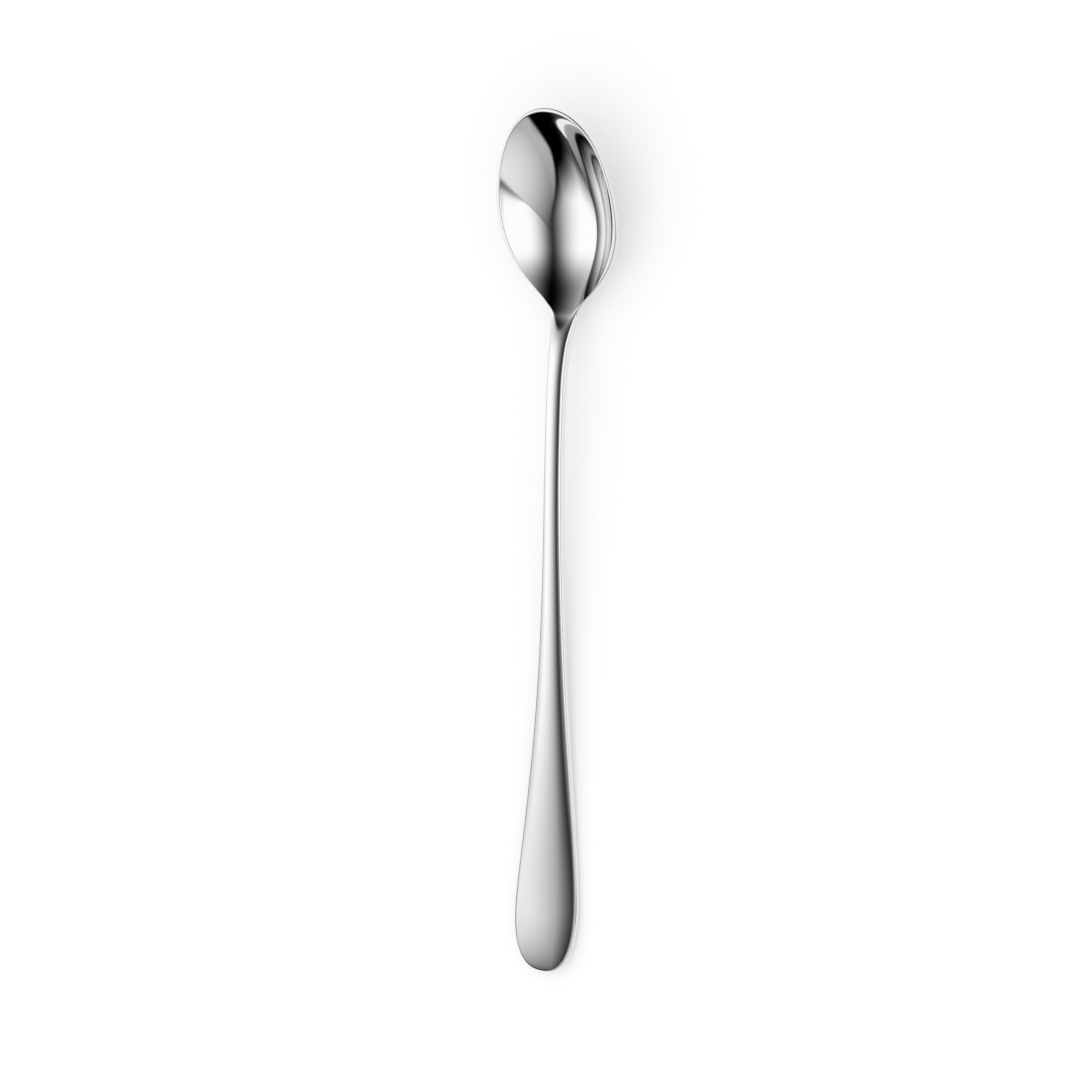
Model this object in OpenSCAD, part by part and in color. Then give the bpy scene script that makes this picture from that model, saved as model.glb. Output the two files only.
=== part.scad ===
// Iced tea spoon, forged and pressed from one stainless steel blank, polished all over.
// It lies face up as it rests on a table: +X runs to the bowl's tip, +Z is up, the table is at zero.
// The real spoon is one piece. It is drawn as four zones of that piece, which meet face to face.

/* [Overall] */
// Length from the handle's end to the bowl's tip
overall_length = 200; // [180:1:225]

/* [Bowl] */
// Length of the bowl's outline, from the tip to where it would close at the neck
bowl_length = 46.5; // [42:0.5:52]
// Width across the bowl's rim
bowl_width = 31.4; // [26:0.1:35]
// Depth of the hollow below the rim
bowl_depth = 8.12; // [5:0.01:9.5]
// Thickness of the metal at the bowl's deepest point
bowl_wall = 1.2; // [0.8:0.1:2]
// Thickness that the metal keeps everywhere below the hollow
least_wall = 0.8; // [0.6:0.05:1]
// Width of the polished flat on top of the rim
rim_width = 0.8; // [0.5:0.05:1.2]
// Height of the rim's outer edge
rim_edge = 1; // [0.8:0.05:1.6]

/* [Neck] */
// Length of the hollow, from its tip end to its point on the neck
hollow_length = 46.4; // [44:0.1:48]
// Width of the sweep that joins the bowl's outline to the stem
neck_fillet = 4.9; // [3:0.1:6.5]
// Distance along the neck over which that sweep fades
neck_reach = 17; // [12:0.5:21]
// How far towards the handle the sweep is centred from the outline's closing point
neck_shift = 2.8; // [0:0.1:5]

/* [Stem] */
// Width of the stem
stem_width = 4.6; // [3.8:0.1:6]
// Height of the stem's side walls
stem_edge = 2; // [1.4:0.05:2.6]
// Rise of the stem's top face over its shoulders
stem_crown = 0.57; // [0.2:0.01:0.9]
// Fullness of the stem's back below its side walls
stem_belly = 0.6; // [0.2:0.05:1]

/* [Handle] */
// Greatest width of the handle
handle_width = 16.8; // [13:0.1:20]
// Distance from the handle's end to its widest place
handle_round = 14.8; // [11:0.1:19]
// Distance from the handle's end at which its width starts to grow
flare_start = 150; // [120:1:152]
// Height of the handle's side walls
handle_edge = 1.7; // [1.3:0.05:2.3]
// Rise of the handle's top face over its shoulders
handle_crown = 0.95; // [0.4:0.01:1.3]
// Fullness of the handle's back below its side walls
handle_belly = 0.15; // [0.05:0.05:0.4]
// Length at the end that keeps the handle's thickness
handle_plate = 20; // [12:1:30]
// Length over which the handle's thickness turns into the stem's
thickness_run = 80; // [50:1:100]

/* [Side bends] */
// Upward bend of the handle's end, in degrees
end_bend = 16.7; // [8:0.1:20]
// Its distance from the handle's end
end_bend_at = 5.7; // [2:0.1:12]
// Length over which it is spread
end_bend_soft = 34; // [20:1:45]
// Downward bend along the stem's arch, in degrees
arch_bend = 1.7; // [0.5:0.1:4]
// Its distance from the handle's end
arch_bend_at = 114.6; // [100:0.1:125]
// Length over which it is spread
arch_bend_soft = 8; // [6:0.5:20]
// Downward bend where the stem drops to the neck, in degrees
drop_bend = 31; // [26:0.1:34]
// Its distance from the bowl's tip
drop_bend_at = 52.6; // [50:0.1:56]
// Length over which it is spread
drop_bend_soft = 9.3; // [7:0.1:12]
// Upward bend where the bowl's rim starts, in degrees
bowl_bend = 37.8; // [34:0.1:40]
// Its distance from the bowl's tip
bowl_bend_at = 46; // [44:0.1:48]
// Length over which it is spread
bowl_bend_soft = 3.5; // [2.5:0.1:6]

/* [Resting faces] */
// How far the bowl's back and the handle's back are worn flat where they touch the table
rest_flat = 0.05; // [0.02:0.01:0.12]

/* [Hidden] */

steel = [0.78, 0.79, 0.8];

// Cuts between the zones, measured from the bowl's tip
bowl_cut = 42;
neck_cut = 60;
stem_cut = 120;
// Length of the blend from the stem's section to the bowl's, and where it starts
section_blend = 14;
section_blend_at = 53;
// The first and last cross-sections take their shape this far in from the ends, so that none closes to a line
end_inset = 0.02;
// Largest step that the search for the resting points takes
search_step = 0.5;
// Overrun of the cuts
overrun = 5;

// Fullness of the bowl's outline, from the tip to the neck
outline_shares = [4.15, 5.44, 5.6, 26.7];
// Fullness of the hollow's outline, from the tip to its point on the neck
hollow_shares = [4.911, 2.782, 5.857, 0.701];
// How far the two outlines are worked out beyond the bowl's length and the hollow's
outline_reach_share = 1.15;
hollow_reach_share = 1.3;
// Steeper wall and flatter floor than a plain bowl-shaped curve
wall_share = 0.282;
// Change of that steepness from the hollow's middle to its tip, and the part of it that is the same at both ends
wall_lean_share = -0.266;
wall_ends_share = -0.076;
// Depth that the hollow gains from its middle to its tip
depth_lean_share = 0.119;
// How much shallower the wall starts below the rim at the tip, and how far down it does so
tip_ease_share = 0.122;
tip_ease_reach_share = 0.25;
// Roundness of the handle's end, 2 is an ellipse
end_power = 2.5;
// Rate at which the handle widens, at its start and towards its widest place
flare_start_power = 3.56;
flare_end_power = 1.6;
// Edge radius as a share of the edge's height
edge_round_share = 0.3;
// The hollow's points span at least and at most these shares of a section's width
least_span_share = 0.3;
most_span_share = 0.97;
// Share of the width that the points span where there is no hollow to follow
plain_span_share = 0.93;

// Counts of points and stations
across_count = 24;
round_count = 3;
tip_count = 30;
bowl_count = 26;
neck_count = 20;
stem_count = 14;
handle_count = 26;
end_count = 20;
peak_count = 100;
settle_count = 6;

half_bowl = bowl_width / 2;
half_hollow = half_bowl - rim_width;
widest_at = overall_length - bowl_length / 2;
sweep_at = overall_length - bowl_length - neck_shift;

// Smooth step from 0 to 1
function rise(t) = let (c = max(0, min(1, t))) c * c * (3 - 2 * c);
// Bend of slope 1, spread over the length k
function bend(x, k) = (x + sqrt(x * x + k * k)) / 2;
// Cubic curve through four control shares
function cubic(p, t) =
    p[0] * pow(1 - t, 3) + 3 * p[1] * t * pow(1 - t, 2) + 3 * p[2] * t * t * (1 - t) + p[3] * pow(t, 3);

// Half width of the bowl's outline as a share, from 0 at the tip over 1 at the widest place to the neck
function outline_raw(t) = let (c = max(0, min(outline_reach_share, t))) (1 - c) * sqrt(c * cubic(outline_shares, c));
outline_peak = max([for (k = [0:peak_count]) outline_raw(k / peak_count)]);
function outline(t) = outline_raw(t) / outline_peak;

function bowl_half(x) = half_bowl * outline((overall_length - x) / bowl_length);

// Half width of the handle and stem
function flare(x) = let (t = max(0, min(1, (flare_start - x) / (flare_start - handle_round))))
    1 - pow(1 - pow(t, flare_start_power), flare_end_power);
function end_round(x) = let (t = max(0, min(1, 1 - x / handle_round)))
    pow(1 - pow(t, end_power), 1 / end_power);
function handle_half(x) = (stem_width + (handle_width - stem_width) * flare(x)) / 2 * end_round(x);

// Half width of the whole spoon, with the sweep at the neck
function sweep(x) =
    neck_fillet
    * rise((x - sweep_at + neck_reach) / neck_reach)
    * rise((sweep_at + neck_reach - x) / neck_reach);
function half(x) = let (b = bowl_half(x), h = handle_half(x))
    x > widest_at ? b : (b + h + sqrt(pow(b - h, 2) + pow(sweep(x), 2))) / 2;

// Section sizes along the spoon
function to_stem(x) = rise((x - handle_plate) / thickness_run);
function to_bowl(x) = rise((x - overall_length + section_blend_at) / section_blend);
function mix(a, b, t) = a + (b - a) * t;
function edge(x) = mix(mix(handle_edge, stem_edge, to_stem(x)), rim_edge, to_bowl(x));
// Share of the crown and the belly that is left, as they fade into the handle's end and into the bowl
function fullness(x) = pow(end_round(x), 2) * (1 - to_bowl(x));
function crown(x) = mix(handle_crown, stem_crown, to_stem(x)) * fullness(x);
function belly(x) = mix(handle_belly, stem_belly, to_stem(x)) * fullness(x);

// Place along the bowl, -1 at the neck, 0 at the middle and 1 at the tip
function along(x) = max(-hollow_reach_share, (x - widest_at) / (bowl_length / 2));
// Shape of the bowl from rim (q is 0) to floor (q is 1), with its steeper wall
function dish(x, q) = let (
        a = along(x),
        wall = wall_share + wall_lean_share * a + wall_ends_share * a * a,
        ease = 1 - exp(-max(0, q) / tip_ease_reach_share) + min(0, q) / tip_ease_reach_share)
    q * (1 + depth_lean_share * a) * (1 + wall * (1 - q)) - tip_ease_share * rise(a) * ease;

// Height of the shoulders before the spoon is laid on the table
function bent(x) =
    tan(end_bend) * bend(x - end_bend_at, end_bend_soft)
    - tan(arch_bend) * bend(x - arch_bend_at, arch_bend_soft)
    - tan(drop_bend) * bend(x - overall_length + drop_bend_at, drop_bend_soft)
    + tan(bowl_bend) * bend(x - overall_length + bowl_bend_at, bowl_bend_soft);

// Outline of the hollow as a squared share of its half width, below 0 beyond its point on the neck
function hollow_share(x) = let (
        t = (overall_length - rim_width - x) / hollow_length,
        c = max(0, min(hollow_reach_share, t)))
    c * (1 - c) * cubic(hollow_shares, min(1, c));
function hollow_depth(x, y) = bowl_depth * dish(x, hollow_share(x) - pow(y / half_hollow, 2));

// Depth of the back below the shoulders, which follows the hollow, u is the share of the half width
function back(x, u) = let (
        deep = (bowl_depth + bowl_wall - rim_edge) * dish(x, max(0, hollow_share(x)) * (1 - u * u)))
    max(edge(x) + belly(x) * (1 - u * u) + deep, hollow_depth(x, u * half(x)) + least_wall);
function keel(x) = bent(x) - back(x, 0);

// The table touches the back of the handle and the back of the bowl
function lowest(from, to, slope) = let (
        xs = [for (x = [from:search_step:to]) x],
        zs = [for (x = xs) keel(x) - slope * x],
        least = min(zs))
    [for (k = [0:len(xs) - 1]) if (zs[k] == least) xs[k]][0];
function settle(slope, turns) = turns == 0 ? slope : let (
        a = lowest(0, overall_length / 2, slope),
        b = lowest(overall_length / 2, overall_length, slope))
    settle((keel(b) - keel(a)) / (b - a), turns - 1);
rest_slope = settle(0, settle_count);
touch_handle = lowest(0, overall_length / 2, rest_slope);
touch_bowl = lowest(overall_length / 2, overall_length, rest_slope);
rest_height = keel(touch_bowl) - rest_slope * touch_bowl + rest_flat;
function shoulder(x) = bent(x) - rest_slope * x - rest_height;

// Top and back of the spoon
function hollow_half(x) = half_hollow * sqrt(max(0, hollow_share(x)));
function hollow(x, y) = shoulder(x) - hollow_depth(x, y);
function top(x, y) = min(shoulder(x) + crown(x) * (1 - pow(y / half(x), 2)), hollow(x, y));
function under(x, y) = shoulder(x) - back(x, y / half(x));

// Points of one cross-section, as a top row and a back row of equal length, from +Y to -Y
function span_share(x, w) = max(least_span_share, min(1, hollow_half(x) / w));
function row(x, w, s) = concat(
    [w],
    [for (k = [0:across_count]) w * s * cos(180 * k / across_count)],
    [-w]);
function arc_y(w, r) = [for (k = [1:round_count]) w + r * sin(90 * k / round_count)];
function arc_z(r) = [for (k = [1:round_count]) r * (1 - cos(90 * k / round_count))];
function section(x, aligned) = let (
        xo = max(end_inset, min(overall_length - end_inset, x)),
        r = min(edge_round_share * edge(xo), half(xo) / 2),
        w = half(xo) - r,
        s = aligned ? min(most_span_share, span_share(xo, w)) : plain_span_share,
        ys = row(xo, w, s),
        ay = arc_y(w, r),
        az = arc_z(r),
        zt = top(xo, w),
        zb = under(xo, w),
        n = round_count - 1)
    [
        concat(
            [for (k = [n:-1:0]) [x, ay[k], zt - az[k]]],
            [for (y = ys) [x, y, top(xo, y)]],
            [for (k = [0:n]) [x, -ay[k], zt - az[k]]]),
        concat(
            [for (k = [n:-1:0]) [x, ay[k], zb + az[k]]],
            [for (y = ys) [x, y, under(xo, y)]],
            [for (k = [0:n]) [x, -ay[k], zb + az[k]]])
    ];

// Solid through the sections at the given stations
module loft(stations, aligned) {
    secs = [for (x = stations) section(x, aligned)];
    m = len(secs[0][0]);
    n = len(stations);
    points = [for (s = secs) each concat(s[0], s[1])];
    function t(i, j) = i * 2 * m + j;
    function b(i, j) = i * 2 * m + m + j;
    skin = [for (i = [0:n - 2], j = [0:m - 2]) each [
        [t(i, j), t(i + 1, j), t(i + 1, j + 1)],
        [t(i, j), t(i + 1, j + 1), t(i, j + 1)],
        [b(i, j), b(i + 1, j + 1), b(i + 1, j)],
        [b(i, j), b(i, j + 1), b(i + 1, j + 1)]
    ]];
    sides = [for (i = [0:n - 2]) each [
        [t(i, 0), b(i, 0), b(i + 1, 0)],
        [t(i, 0), b(i + 1, 0), t(i + 1, 0)],
        [t(i, m - 1), b(i + 1, m - 1), b(i, m - 1)],
        [t(i, m - 1), t(i + 1, m - 1), b(i + 1, m - 1)]
    ]];
    ends = [for (j = [0:m - 2]) each [
        [t(0, j), t(0, j + 1), b(0, j + 1), b(0, j)],
        [t(n - 1, j), b(n - 1, j), b(n - 1, j + 1), t(n - 1, j + 1)]
    ]];
    translate([-overall_length / 2, 0, 0])
        polyhedron(points = points, faces = concat(skin, sides, ends), convexity = 6);
}

// What lies below the table
module below_table() {
    translate([-overall_length, -bowl_width, -overrun])
        cube([2 * overall_length, 2 * bowl_width, overrun]);
}

function even(from, to, n) = [for (k = [0:n]) from + (to - from) * k / n];
tip_span = overall_length - widest_at;

// The bowl, from its cut at the neck to the tip
module bowl() {
    color(steel)
        difference() {
            loft(concat(
                even(overall_length - bowl_cut, widest_at, bowl_count),
                [for (k = [1:tip_count]) widest_at + tip_span * sin(90 * k / tip_count)]), true);
            below_table();
        }
}

// The neck, where the hollow runs out to a point on the stem
module neck() {
    color(steel)
        loft(even(overall_length - neck_cut, overall_length - bowl_cut, neck_count), false);
}

// The slender part of the stem
module stem() {
    color(steel)
        loft(even(overall_length - stem_cut, overall_length - neck_cut, stem_count), false);
}

// The handle, which widens to its rounded end
module handle() {
    color(steel)
        difference() {
            loft(concat(
                [for (k = [0:end_count - 1]) handle_round * (1 - cos(90 * k / end_count))],
                even(handle_round, overall_length - stem_cut, handle_count)), false);
            below_table();
        }
}

bowl();
neck();
stem();
handle();
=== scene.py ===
import math
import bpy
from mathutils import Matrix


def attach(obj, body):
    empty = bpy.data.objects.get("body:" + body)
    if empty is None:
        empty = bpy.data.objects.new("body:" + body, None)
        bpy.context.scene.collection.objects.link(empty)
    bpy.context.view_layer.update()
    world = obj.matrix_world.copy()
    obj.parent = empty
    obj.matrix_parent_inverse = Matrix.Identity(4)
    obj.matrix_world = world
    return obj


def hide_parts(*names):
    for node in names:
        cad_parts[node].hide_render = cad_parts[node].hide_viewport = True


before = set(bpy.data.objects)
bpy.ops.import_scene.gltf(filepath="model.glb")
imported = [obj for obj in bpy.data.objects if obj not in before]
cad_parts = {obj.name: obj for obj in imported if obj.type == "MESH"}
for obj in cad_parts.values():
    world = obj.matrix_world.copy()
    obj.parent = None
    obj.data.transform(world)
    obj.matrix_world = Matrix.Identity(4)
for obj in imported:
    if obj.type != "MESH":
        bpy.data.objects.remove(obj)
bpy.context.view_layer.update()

from types import SimpleNamespace

import bpy
from mathutils import Matrix, Vector

MM = 0.001

# Sizes of the spoon in millimetres, the same as the part's, which the tree takes as its inputs. Places count
# from the handle's end, but those of drop_bend, bowl_bend and section_blend count from the bowl's tip.
SIZES = dict(
    overall_length=200.0,
    bowl_length=46.5,
    bowl_width=31.4,
    bowl_depth=8.12,
    bowl_wall=1.2,
    least_wall=0.8,
    rim_width=0.8,
    rim_edge=1.0,
    hollow_length=46.4,
    neck_fillet=4.9,
    neck_reach=17.0,
    neck_shift=2.8,
    stem_width=4.6,
    stem_edge=2.0,
    stem_crown=0.57,
    stem_belly=0.6,
    handle_width=16.8,
    handle_round=14.8,
    flare_start=150.0,
    handle_edge=1.7,
    handle_crown=0.95,
    handle_belly=0.15,
    handle_plate=20.0,
    thickness_run=80.0,
    end_bend=16.7,
    end_bend_at=5.7,
    end_bend_soft=34.0,
    arch_bend=1.7,
    arch_bend_at=114.6,
    arch_bend_soft=8.0,
    drop_bend=31.0,
    drop_bend_at=52.6,
    drop_bend_soft=9.3,
    bowl_bend=37.8,
    bowl_bend_at=46.0,
    bowl_bend_soft=3.5,
    section_blend=14.0,
    section_blend_at=53.0,
    rest_flat=0.05,
    crease_round=0.15,
)
# Shares that set the character of the curves
OUTLINE_SHARES = (4.15, 5.44, 5.6, 26.7)
OUTLINE_REACH = 1.15
HOLLOW_SHARES = (4.911, 2.782, 5.857, 0.701)
HOLLOW_REACH = 1.3
WALL_SHARE = 0.282
WALL_LEAN = -0.266
WALL_ENDS = -0.076
DEPTH_LEAN = 0.119
TIP_EASE = 0.122
TIP_EASE_REACH = 0.25
END_POWER = 2.5
FLARE_START_POWER = 3.56
FLARE_END_POWER = 1.6
EDGE_ROUND_SHARE = 0.3
LEAST_HOLLOW_SHARE = 0.3

# Counts of stations along the spoon and of points across it
END_STATIONS = 40
HANDLE_STATIONS = 100
NECK_STATIONS = 140
TIP_STATIONS = 130
FACE_ROWS = 100
BACK_ROWS = 50
EDGE_ROWS = 14
# Step for the lean of the side walls, and the gap below which points are welded
FLANK_STEP = 0.05
WELD_GAP = 0.0002
# Turns of the search for the resting slope, and its steps along one millimetre
SETTLE_TURNS = 6
SETTLE_STEPS = 2

# Finish of the steel: haze left by the polishing wheel, fine marks drawn out along the spoon, and worn edges
FINISH = SimpleNamespace(
    rough=0.035, rough_haze=0.03, rough_marks=0.02, rough_wear=0.05,
    haze_scale=60.0, haze_detail=3.0,
    marks_scale=2600.0, marks_detail=4.0, marks_along=0.12,
    cool_steel=(0.82, 0.825, 0.83, 1), plain_steel=(0.84, 0.84, 0.84, 1),
    mark_strength=0.03, mark_height=0.00002,
)
# Sockets of the colour mixing node, which share their names with others
MIX_FIRST, MIX_SECOND, MIX_RESULT = 6, 7, 2

# Round floor in metres, and the glow that lifts it to white where it is seen
FLOOR = SimpleNamespace(reach=3.0, sides=64, colour=(0.8, 0.8, 0.8, 1), glow=0.22)

# The photograph's view: angles from straight above in degrees, its roll in radians, and its place in metres
VIEW = SimpleNamespace(
    from_right=32, from_tip=10, roll=0.0407853812,
    height=0.005, to_left=0.002994, to_tip=0.001632, distance=1.0,
    sensor=36.0, lens=146.87, clip_start=0.01,
)


# Sums that work on plain numbers and on the values of a node tree alike

class Field:
    """A value of a node tree. Every sum with it adds a Math node."""

    def __init__(self, tree, socket):
        self.tree = tree
        self.socket = socket

    def __add__(self, other):
        return work("ADD", self, other)

    def __radd__(self, other):
        return work("ADD", other, self)

    def __sub__(self, other):
        return work("SUBTRACT", self, other)

    def __rsub__(self, other):
        return work("SUBTRACT", other, self)

    def __mul__(self, other):
        return work("MULTIPLY", self, other)

    def __rmul__(self, other):
        return work("MULTIPLY", other, self)

    def __truediv__(self, other):
        return work("DIVIDE", self, other)

    def __rtruediv__(self, other):
        return work("DIVIDE", other, self)

    def __neg__(self):
        return work("MULTIPLY", self, -1.0)


PLAIN = {
    "MAXIMUM": max,
    "MINIMUM": min,
    "POWER": pow,
    "SQRT": math.sqrt,
    "SINE": math.sin,
    "COSINE": math.cos,
    "TANGENT": math.tan,
    "EXPONENT": math.exp,
    "ABSOLUTE": abs,
    "GREATER_THAN": lambda a, b: float(a > b),
}


def work(kind, *values):
    fields = [v for v in values if isinstance(v, Field)]
    if not fields:
        return PLAIN[kind](*values)
    tree = fields[0].tree
    node = tree.nodes.new("ShaderNodeMath")
    node.operation = kind
    for socket, value in zip(node.inputs, values):
        if isinstance(value, Field):
            tree.links.new(value.socket, socket)
        else:
            socket.default_value = value
    return Field(tree, node.outputs[0])


def most(a, b):
    return work("MAXIMUM", a, b)


def least(a, b):
    return work("MINIMUM", a, b)


def root(a):
    return work("SQRT", a)


def power(a, b):
    return work("POWER", a, b)


def size_of(a):
    return work("ABSOLUTE", a)


def beyond(a, b):
    return work("GREATER_THAN", a, b)


def ramp(t):
    return least(most(t, 0.0), 1.0)


def turn(quarters):
    return quarters * (math.pi / 2)


def mix(a, b, t):
    return a + (b - a) * t


def rise(t):
    c = ramp(t)
    return c * c * (3.0 - c * 2.0)


def bend(x, soft):
    return (x + root(x * x + soft * soft)) / 2.0


def slope(degrees):
    return work("TANGENT", degrees * (math.pi / 180))


# The spoon's shape, the same curves as the part's

def cubic(shares, t):
    p, q, r, s = shares
    d = 1.0 - t
    return p * d * d * d + 3 * q * t * d * d + 3 * r * t * t * d + s * t * t * t


def outline_raw(t):
    c = least(most(t, 0.0), OUTLINE_REACH)
    return (1.0 - c) * root(c * cubic(OUTLINE_SHARES, c))


OUTLINE_PEAK = max(outline_raw(k / 100) for k in range(101))


def outline(t):
    return outline_raw(t) / OUTLINE_PEAK


def end_round(s, x):
    """Half width of the handle's rounded end, as a share of the handle's."""
    return power(1.0 - power(ramp(1.0 - x / s.handle_round), END_POWER), 1 / END_POWER)


def half_width(s, x):
    """Half the spoon's width, with the sweep at the neck."""
    bowl = s.bowl_width / 2.0 * outline((s.overall_length - x) / s.bowl_length)
    t = ramp((s.flare_start - x) / (s.flare_start - s.handle_round))
    flare = 1.0 - power(1.0 - power(t, FLARE_START_POWER), FLARE_END_POWER)
    handle = (s.stem_width + (s.handle_width - s.stem_width) * flare) / 2.0 * end_round(s, x)
    middle = s.overall_length - s.bowl_length - s.neck_shift
    sweep = s.neck_fillet * rise((x - middle + s.neck_reach) / s.neck_reach)
    sweep = sweep * rise((middle + s.neck_reach - x) / s.neck_reach)
    gap = bowl - handle
    joined = (bowl + handle + root(gap * gap + sweep * sweep)) / 2.0
    return mix(joined, bowl, beyond(x, s.overall_length - s.bowl_length / 2.0))


def to_stem(s, x):
    return rise((x - s.handle_plate) / s.thickness_run)


def to_bowl(s, x):
    return rise((x - s.overall_length + s.section_blend_at) / s.section_blend)


def fullness(s, x):
    """Share of the crown and the belly that is left, as they fade into the handle's end and into the bowl."""
    end = end_round(s, x)
    return end * end * (1.0 - to_bowl(s, x))


def edge_height(s, x):
    return mix(mix(s.handle_edge, s.stem_edge, to_stem(s, x)), s.rim_edge, to_bowl(s, x))


def dish(s, x, q):
    """Shape of the bowl from rim (q is 0) to floor (q is 1), deeper near the tip and steeper in the wall."""
    along = most((x - s.overall_length) / (s.bowl_length / 2.0) + 1.0, -HOLLOW_REACH)
    wall = WALL_SHARE + along * WALL_LEAN + along * along * WALL_ENDS
    deep = q * (1.0 + along * DEPTH_LEAN) * (1.0 + wall * (1.0 - q))
    ease = 1.0 - work("EXPONENT", most(q, 0.0) / -TIP_EASE_REACH) + least(q, 0.0) / TIP_EASE_REACH
    return deep - TIP_EASE * rise(along) * ease


def bent(s, x):
    """Height of the shoulders before the spoon is laid down."""
    return (slope(s.end_bend) * bend(x - s.end_bend_at, s.end_bend_soft)
            - slope(s.arch_bend) * bend(x - s.arch_bend_at, s.arch_bend_soft)
            - slope(s.drop_bend) * bend(x - s.overall_length + s.drop_bend_at, s.drop_bend_soft)
            + slope(s.bowl_bend) * bend(x - s.overall_length + s.bowl_bend_at, s.bowl_bend_soft))


def hollow_share(s, x):
    """Outline of the hollow as a squared share of its half width, below 0 beyond its point on the neck."""
    c = least(most((s.overall_length - s.rim_width - x) / s.hollow_length, 0.0), HOLLOW_REACH)
    return c * (1.0 - c) * cubic(HOLLOW_SHARES, least(c, 1.0))


def hollow_depth(s, x, y):
    v = y / (s.bowl_width / 2.0 - s.rim_width)
    return s.bowl_depth * dish(s, x, hollow_share(s, x) - v * v)


def back_depth(s, x, y, half):
    """Depth of the back below the shoulders, which follows the hollow."""
    flat = 1.0 - (y / half) * (y / half)
    belly = mix(s.handle_belly, s.stem_belly, to_stem(s, x)) * fullness(s, x)
    deep = (s.bowl_depth + s.bowl_wall - s.rim_edge) * dish(s, x, most(hollow_share(s, x), 0.0) * flat)
    return most(edge_height(s, x) + belly * flat + deep, hollow_depth(s, x, y) + s.least_wall)


def lay_down(s):
    """Slope and height at which the backs of the handle and the bowl touch the table."""
    def keel(x):
        return bent(s, x) - back_depth(s, x, 0.0, 1.0)

    steps = [k / SETTLE_STEPS for k in range(int(s.overall_length) * SETTLE_STEPS + 1)]
    near = [x for x in steps if x <= s.overall_length / 2]
    far = [x for x in steps if x >= s.overall_length / 2]
    lean = 0.0
    for _ in range(SETTLE_TURNS):
        a = min(near, key=lambda x: keel(x) - lean * x)
        b = min(far, key=lambda x: keel(x) - lean * x)
        lean = (keel(b) - keel(a)) / (b - a)
    return lean, keel(b) - lean * b + s.rest_flat


# Small helpers for node trees

def add(tree, kind, **settings):
    node = tree.nodes.new(kind)
    for name, value in settings.items():
        setattr(node, name, value)
    return node


def feed(tree, socket, value):
    if isinstance(value, Field):
        tree.links.new(value.socket, socket)
    elif isinstance(value, bpy.types.NodeSocket):
        tree.links.new(value, socket)
    else:
        socket.default_value = value


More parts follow.
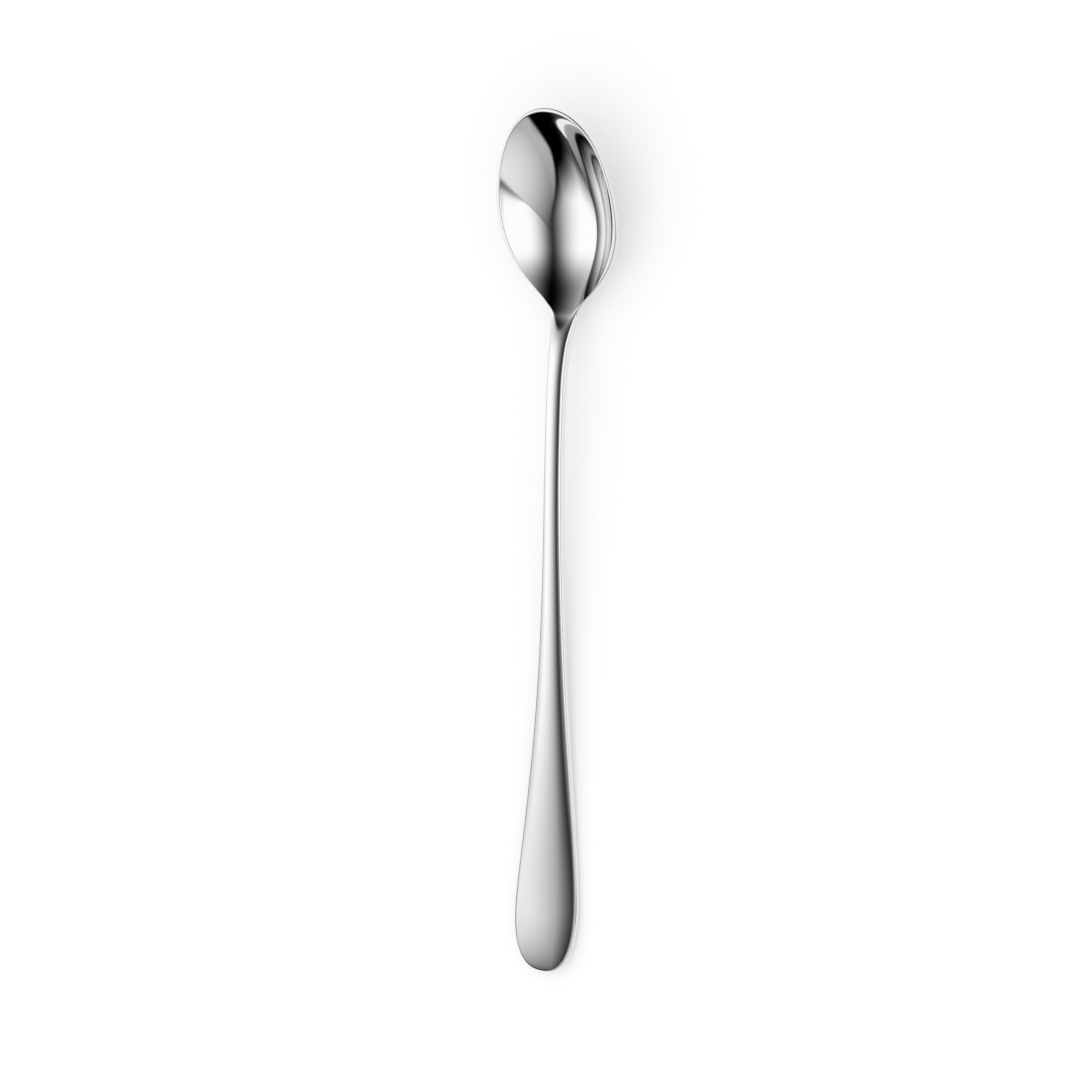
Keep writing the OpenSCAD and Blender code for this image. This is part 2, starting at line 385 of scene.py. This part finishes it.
def spoon_tree(sizes, steel):
    tree = bpy.data.node_groups.new("pressed spoon", "GeometryNodeTree")
    tree.interface.new_socket("blank", in_out="INPUT", socket_type="NodeSocketGeometry")
    tree.interface.new_socket("spoon", in_out="OUTPUT", socket_type="NodeSocketGeometry")
    for name in sizes:
        tree.interface.new_socket(name, in_out="INPUT", socket_type="NodeSocketFloat")
    given = add(tree, "NodeGroupInput")
    s = SimpleNamespace(**{name: Field(tree, given.outputs[name]) for name in sizes})

    stations = END_STATIONS + HANDLE_STATIONS + NECK_STATIONS + TIP_STATIONS
    face = FACE_ROWS + 2 * EDGE_ROWS
    back = BACK_ROWS + 2 * EDGE_ROWS
    around = face + back + 2
    grid = add(tree, "GeometryNodeMeshGrid")
    grid.inputs["Size X"].default_value = 1.0
    grid.inputs["Size Y"].default_value = 1.0
    grid.inputs["Vertices X"].default_value = stations + 1
    grid.inputs["Vertices Y"].default_value = around + 1
    place = add(tree, "ShaderNodeSeparateXYZ")
    tree.links.new(add(tree, "GeometryNodeInputPosition").outputs[0], place.inputs[0])
    station = (Field(tree, place.outputs[0]) + 0.5) * float(stations)
    row = (Field(tree, place.outputs[1]) + 0.5) * float(around)

    # Stations along the spoon, close together at both rounded ends
    def sine(quarters):
        return work("SINE", turn(quarters))

    def cosine(quarters):
        return work("COSINE", turn(quarters))

    widest = s.overall_length - s.bowl_length / 2.0
    neck_from = s.overall_length - s.section_blend_at - s.drop_bend_soft
    handle_first = END_STATIONS
    neck_first = handle_first + HANDLE_STATIONS
    tip_first = neck_first + NECK_STATIONS
    x = s.handle_round * (1.0 - cosine(ramp(station / END_STATIONS)))
    x = x + (neck_from - s.handle_round) * ramp((station - handle_first) / HANDLE_STATIONS)
    x = x + (widest - neck_from) * ramp((station - neck_first) / NECK_STATIONS)
    x = x + (s.overall_length - widest) * sine(ramp((station - tip_first) / TIP_STATIONS))

    half = half_width(s, x)
    near = most(x - FLANK_STEP, 0.0)
    far = least(x + FLANK_STEP, s.overall_length)
    half_far = half_width(s, far)
    half_near = half_width(s, near)
    flank = (half_far * half_far - half_near * half_near) / (far - near) / 2.0

    # The crease where the hollow meets the top face
    hollow_half = s.bowl_width / 2.0 - s.rim_width
    signed = hollow_share(s, x)
    crown = mix(s.handle_crown, s.stem_crown, to_stem(s, x)) * fullness(s, x)
    lift = crown / (s.bowl_depth * (1.0 + WALL_SHARE))
    crease = root(most((signed + lift) / (1.0 / (hollow_half * hollow_half) + lift / (half * half)), 0.0))
    crease = most(least(crease, half), half * LEAST_HOLLOW_SHARE)

    # Rows across the face from +Y to -Y, down the wall, and back under the spoon
    under = beyond(row, face + 0.5) * beyond(around - 0.5, row)

    def across(count, rows):
        edge = half - crease
        y = edge * sine(1.0 - ramp(count / EDGE_ROWS))
        y = y + crease * cosine(ramp((count - EDGE_ROWS) / rows) * 2.0)
        return y - edge * sine(ramp((count - EDGE_ROWS - rows) / EDGE_ROWS))

    face_count = row * beyond(around - 0.5, row)
    y = mix(across(face_count, FACE_ROWS), across(face + 1.0 + back - row, BACK_ROWS), under)

    # Heights of the face and the back, with rounded edges
    lean = s.rest_slope * x + s.rest_height
    shoulder = bent(s, x) - lean
    share = y / half
    u2 = share * share
    hollow = shoulder - hollow_depth(s, x, y)
    blank = shoulder + crown * (1.0 - u2)
    top = work("SMOOTH_MIN", blank, hollow, s.crease_round)
    bottom = shoulder - back_depth(s, x, y, half)
    inward = (half * half - y * y) / (root(flank * flank + y * y) * 2.0)
    inward = most(inward, 0.0)
    r = edge_height(s, x) * EDGE_ROUND_SHARE
    c = least(inward, r)
    drop = r - root(c * (r * 2.0 - c))
    z = most(mix(top - drop, bottom + drop, under), 0.0)

    join = add(tree, "ShaderNodeCombineXYZ")
    feed(tree, join.inputs[0], (x - s.overall_length / 2.0) * MM)
    feed(tree, join.inputs[1], y * MM)
    feed(tree, join.inputs[2], z * MM)
    shaped = add(tree, "GeometryNodeSetPosition")
    tree.links.new(grid.outputs["Mesh"], shaped.inputs["Geometry"])
    tree.links.new(join.outputs[0], shaped.inputs["Position"])
    worn = add(tree, "GeometryNodeStoreNamedAttribute", data_type="FLOAT", domain="POINT")
    tree.links.new(shaped.outputs[0], worn.inputs["Geometry"])
    worn.inputs["Name"].default_value = "edge_wear"
    feed(tree, worn.inputs["Value"], 1.0 - rise(inward / r))
    welded = add(tree, "GeometryNodeMergeByDistance")
    tree.links.new(worn.outputs[0], welded.inputs["Geometry"])
    welded.inputs["Distance"].default_value = WELD_GAP * MM
    smooth = add(tree, "GeometryNodeSetShadeSmooth")
    tree.links.new(welded.outputs[0], smooth.inputs["Geometry"])
    real = add(tree, "GeometryNodeRealizeInstances")
    tree.links.new(smooth.outputs[0], real.inputs["Geometry"])
    finish = add(tree, "GeometryNodeSetMaterial")
    tree.links.new(real.outputs[0], finish.inputs["Geometry"])
    finish.inputs["Material"].default_value = steel
    out = add(tree, "NodeGroupOutput")
    tree.links.new(finish.outputs[0], out.inputs[0])
    return tree


def make_piece(name, tree, sizes):
    """Runs the tree on an empty mesh and keeps the result as a plain mesh."""
    piece = bpy.data.objects.new(name, bpy.data.meshes.new("blank"))
    bpy.context.scene.collection.objects.link(piece)
    shape = piece.modifiers.new("shape", "NODES")
    shape.node_group = tree
    for item in tree.interface.items_tree:
        if item.in_out == "INPUT" and item.name in sizes:
            shape[item.identifier] = float(sizes[item.name])
    made = piece.evaluated_get(bpy.context.evaluated_depsgraph_get())
    mesh = bpy.data.meshes.new_from_object(made)
    piece.modifiers.remove(shape)
    piece.data = mesh
    mesh.name = name
    return piece


# Materials

def polished_steel():
    material = bpy.data.materials.new("polished steel")
    material.use_nodes = True
    tree = material.node_tree
    shader = tree.nodes["Principled BSDF"]
    shader.inputs["Metallic"].default_value = 1.0
    coords = add(tree, "ShaderNodeTexCoord")
    haze = add(tree, "ShaderNodeTexNoise")
    tree.links.new(coords.outputs["Object"], haze.inputs["Vector"])
    haze.inputs["Scale"].default_value = FINISH.haze_scale
    haze.inputs["Detail"].default_value = FINISH.haze_detail
    stretch = add(tree, "ShaderNodeMapping")
    tree.links.new(coords.outputs["Object"], stretch.inputs["Vector"])
    stretch.inputs["Scale"].default_value = (FINISH.marks_along, 1.0, 1.0)
    marks = add(tree, "ShaderNodeTexNoise")
    tree.links.new(stretch.outputs[0], marks.inputs["Vector"])
    marks.inputs["Scale"].default_value = FINISH.marks_scale
    marks.inputs["Detail"].default_value = FINISH.marks_detail
    wear = add(tree, "ShaderNodeAttribute", attribute_name="edge_wear")
    hazy = Field(tree, haze.outputs[0])
    fine = Field(tree, marks.outputs[0])
    worn = Field(tree, wear.outputs["Fac"])
    rough = FINISH.rough + hazy * FINISH.rough_haze + fine * FINISH.rough_marks + worn * FINISH.rough_wear
    feed(tree, shader.inputs["Roughness"], rough)
    tint = add(tree, "ShaderNodeMix", data_type="RGBA")
    feed(tree, tint.inputs["Factor"], hazy)
    tint.inputs[MIX_FIRST].default_value = FINISH.cool_steel
    tint.inputs[MIX_SECOND].default_value = FINISH.plain_steel
    tree.links.new(tint.outputs[MIX_RESULT], shader.inputs["Base Color"])
    bump = add(tree, "ShaderNodeBump")
    bump.inputs["Strength"].default_value = FINISH.mark_strength
    bump.inputs["Distance"].default_value = FINISH.mark_height
    feed(tree, bump.inputs["Height"], fine)
    tree.links.new(bump.outputs[0], shader.inputs["Normal"])
    return material


def floor_material():
    """Pale floor that keeps the spoon's soft shadow and shows as white where it is clear."""
    material = bpy.data.materials.new("pale floor")
    material.use_nodes = True
    tree = material.node_tree
    shader = tree.nodes["Principled BSDF"]
    shader.inputs["Base Color"].default_value = FLOOR.colour
    shader.inputs["Roughness"].default_value = 1.0
    shader.inputs["Specular IOR Level"].default_value = 0.0
    shader.inputs["Emission Color"].default_value = (1, 1, 1, 1)
    feed(tree, shader.inputs["Emission Strength"], seen_rays(tree) * FLOOR.glow)
    return material


def seen_rays(tree):
    """1 for rays from the camera, off metal or through glass, 0 for the rays that carry diffuse light."""
    path = add(tree, "ShaderNodeLightPath")
    seen = Field(tree, path.outputs["Is Camera Ray"])
    seen = most(seen, Field(tree, path.outputs["Is Glossy Ray"]))
    return most(seen, Field(tree, path.outputs["Is Transmission Ray"]))


def plain_world():
    """Even white light from all sides, which lights the floor and every view."""
    world = bpy.data.worlds.new("soft studio")
    bpy.context.scene.world = world
    world.use_nodes = True
    sky = world.node_tree.nodes["Background"]
    sky.inputs["Color"].default_value = (1, 1, 1, 1)
    sky.inputs["Strength"].default_value = 1.0


# The light tent round the spoon, in shares of its radius: u runs to the spoon's right, v to the bowl's tip
TENT_RADIUS = 0.4
TENT_CENTRE = (0.04, 0.0, 0.0)
TENT_RINGS = 24
TENT_SIDES = 96
TENT = SimpleNamespace(
    # Dark gap between the two softboxes
    gap_u=0.043, gap_left=0.753, gap_right=0.652, gap_level=0.039,
    gap_left_power=0.865, gap_right_power=0.967,
    # Dark end beyond the bowl's tip
    end_v=0.033, end_slant=0.322, end_soft=0.53,
    # Lower edge of the left softbox
    box_v=-0.802, box_u=-0.306, box_slant=1.016, box_far_u=-0.705, box_far_slant=1.176,
    box_soft=0.413, box_fade=0.331, box_least_soft=0.12,
    # Grey panel at the handle's end
    panel_u=-0.27, panel_slant=0.55, panel_v=-0.88, panel_soft=0.08, panel_level=0.42, panel_rise=0.744,
    panel_fall=-0.621,
    # Thin dark line between the panel and the softboxes
    line_v=-0.068, line_slant=-0.537, line_width=0.015, line_more=0.095, line_u=0.62, line_depth=0.36,
    line_edge=0.04, line_start=0.15, line_reach=0.3,
    # Dark foot of the tent all round
    foot_at=0.94, foot_soft=0.05, foot_depth=0.6,
    strength=1.172,
)


def tent_light(t, u, v):
    """Brightness of the tent at a place on it."""
    left = power(rise((t.gap_u - u) / t.gap_left), t.gap_left_power)
    right = power(rise((u - t.gap_u) / t.gap_right), t.gap_right_power)
    beside = mix(t.gap_level, 1.0, left + right)
    end = 1.0 - rise((v - t.end_v - most(u, 0.0) * t.end_slant) / t.end_soft)
    inner = most(u - t.box_u, 0.0)
    outer = most(t.box_far_u - u, 0.0)
    foot = t.box_v + inner * t.box_slant + outer * t.box_far_slant
    soft = most(t.box_soft - inner * t.box_fade, t.box_least_soft)
    foot = rise((v - foot) / soft)
    boxes = beside * end * mix(foot, 1.0, beyond(u, t.gap_u))
    side = t.panel_u + size_of(v - t.panel_v) * t.panel_slant
    line = t.line_v + u * t.line_slant
    panel = rise((u - side) / t.panel_soft + 0.5) * rise((line - v) / t.line_edge + 0.5)
    grey = ramp(t.panel_level + most(u, 0.0) * t.panel_rise + (v - t.panel_v) * t.panel_fall)
    wide = rise((u - t.line_u) / t.line_reach)
    off = (v - line) / (t.line_width + t.line_more * wide)
    depth = mix(t.line_depth, 1.0, wide) * rise(u / t.line_start)
    dark = work("EXPONENT", -(off * off)) * depth
    low = rise((root(u * u + v * v) - t.foot_at) / t.foot_soft) * t.foot_depth
    return mix(boxes, grey, panel) * (1.0 - dark) * (1.0 - low) * t.strength


def tent_material():
    material = bpy.data.materials.new("light tent")
    material.use_nodes = True
    tree = material.node_tree
    tree.nodes.remove(tree.nodes["Principled BSDF"])
    place = add(tree, "ShaderNodeSeparateXYZ")
    tree.links.new(add(tree, "ShaderNodeTexCoord").outputs["Object"], place.inputs[0])
    glow = add(tree, "ShaderNodeEmission")
    u = Field(tree, place.outputs[1]) * (-1 / TENT_RADIUS)
    v = Field(tree, place.outputs[0]) * (1 / TENT_RADIUS)
    feed(tree, glow.inputs["Strength"], tent_light(TENT, u, v))
    tree.links.new(glow.outputs[0], tree.nodes["Material Output"].inputs["Surface"])
    return material


def light_tent():
    """Half dome that only polished metal sees, so that it neither hides a view nor lights the floor."""
    rings, sides = TENT_RINGS, TENT_SIDES
    points = [(0.0, 0.0, TENT_RADIUS)]
    for k in range(1, rings + 1):
        down = math.pi / 2 * k / rings
        for n in range(sides):
            turned = 2 * math.pi * n / sides
            out = TENT_RADIUS * math.sin(down)
            points.append((out * math.cos(turned), out * math.sin(turned), TENT_RADIUS * math.cos(down)))
    faces = [(0, 1 + (n + 1) % sides, 1 + n) for n in range(sides)]
    for k in range(rings - 1):
        a, b = 1 + k * sides, 1 + (k + 1) * sides
        faces += [(a + n, a + (n + 1) % sides, b + (n + 1) % sides, b + n) for n in range(sides)]
    mesh = bpy.data.meshes.new("light tent")
    mesh.from_pydata(points, [], faces)
    mesh.materials.append(tent_material())
    tent = bpy.data.objects.new("light tent", mesh)
    tent.location = TENT_CENTRE
    bpy.context.scene.collection.objects.link(tent)
    tent.visible_camera = False
    tent.visible_diffuse = False
    tent.visible_shadow = False
    tent.visible_transmission = False


def camera():
    """The photograph's view, from the right of the spoon and a little beyond its tip."""
    side = math.radians(VIEW.from_right)
    ahead = math.radians(VIEW.from_tip)
    roll = VIEW.roll
    right = Vector((0, -math.cos(side), -math.sin(side)))
    up = Vector((1, 0, 0))
    back = Vector((0, -math.sin(side), math.cos(side)))
    up, back = up * math.cos(ahead) - back * math.sin(ahead), back * math.cos(ahead) + up * math.sin(ahead)
    right, up = right * math.cos(roll) + up * math.sin(roll), up * math.cos(roll) - right * math.sin(roll)
    aim = Vector((0, 0, VIEW.height)) - right * VIEW.to_left + up * VIEW.to_tip
    data = bpy.data.cameras.new("photo view")
    data.sensor_width = VIEW.sensor
    data.lens = VIEW.lens
    data.clip_start = VIEW.clip_start
    view = bpy.data.objects.new("photo view", data)
    bpy.context.scene.collection.objects.link(view)
    eye = aim + back * VIEW.distance
    view.matrix_world = Matrix.Translation(eye) @ Matrix((right, up, back)).transposed().to_4x4()
    bpy.context.scene.camera = view


def floor():
    mesh = bpy.data.meshes.new("floor")
    turns = [2 * math.pi * k / FLOOR.sides for k in range(FLOOR.sides)]
    ring = [(FLOOR.reach * math.cos(a), FLOOR.reach * math.sin(a), 0.0) for a in turns]
    mesh.from_pydata(ring, [], [tuple(range(FLOOR.sides))])
    mesh.materials.append(floor_material())
    piece = bpy.data.objects.new("floor", mesh)
    bpy.context.scene.collection.objects.link(piece)


camera()
plain_world()
light_tent()
floor()

lean, height = lay_down(SimpleNamespace(**SIZES))
sizes = dict(SIZES, rest_slope=lean, rest_height=height)
steel = polished_steel()
spoon = make_piece("spoon", spoon_tree(sizes, steel), sizes)
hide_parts("bowl", "neck", "stem", "handle")
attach(spoon, "root")

bpy.context.scene.view_settings.view_transform = "Standard"
